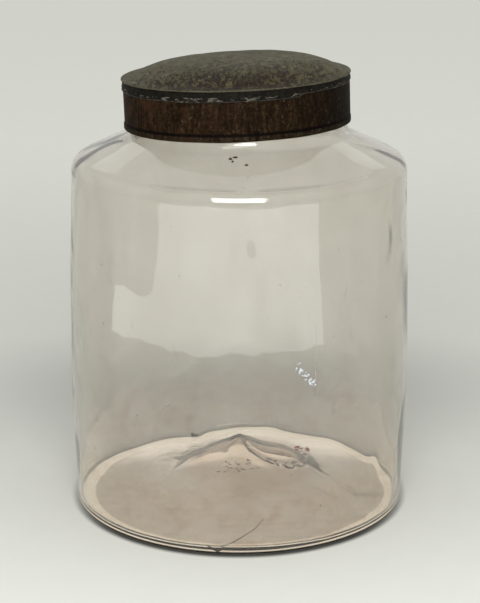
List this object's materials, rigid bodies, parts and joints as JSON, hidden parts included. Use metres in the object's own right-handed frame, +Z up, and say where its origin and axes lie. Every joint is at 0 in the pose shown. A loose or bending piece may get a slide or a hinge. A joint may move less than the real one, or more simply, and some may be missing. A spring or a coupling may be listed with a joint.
{
  "type": "lidded glass canister",
  "caption": "Hand-blown clear glass storage jar with a round shoulder and a pushed-up base, under a domed slip-on tinplate lid that lifts off.",
  "frame": {"origin": "on the jar's axis, on the surface that it stands on", "axes": "+Z up along the jar's axis; -Y is the front; the lid leans towards -X"},
  "size_m": [0.1928, 0.1928, 0.2548],
  "materials": {
    "clear_glass": "clear, hand blown, faintly warm grey, with seeds and scratches",
    "scar_glass": "rough broken glass",
    "lid_top_tin": "aged brown lacquer on tinplate, pitted with rust",
    "lid_band_tin": "dark brown lacquer on tinplate, streaked and worn",
    "solder": "dull grey soft solder"
  },
  "bodies": {
    "jar": {"glass_jar": "clear_glass", "pontil_scar": "scar_glass"},
    "lid": {"lid_top": "lid_top_tin", "lid_band": "lid_band_tin", "flange_solder": "solder", "lap_solder": "solder"}
  },
  "joints": [
    {"name": "lid_lift", "type": "slide", "parent": "jar", "child": "lid", "axis": [-0.0361, 0, 0.9993], "range_m": [0, 0.06]}
  ]
}
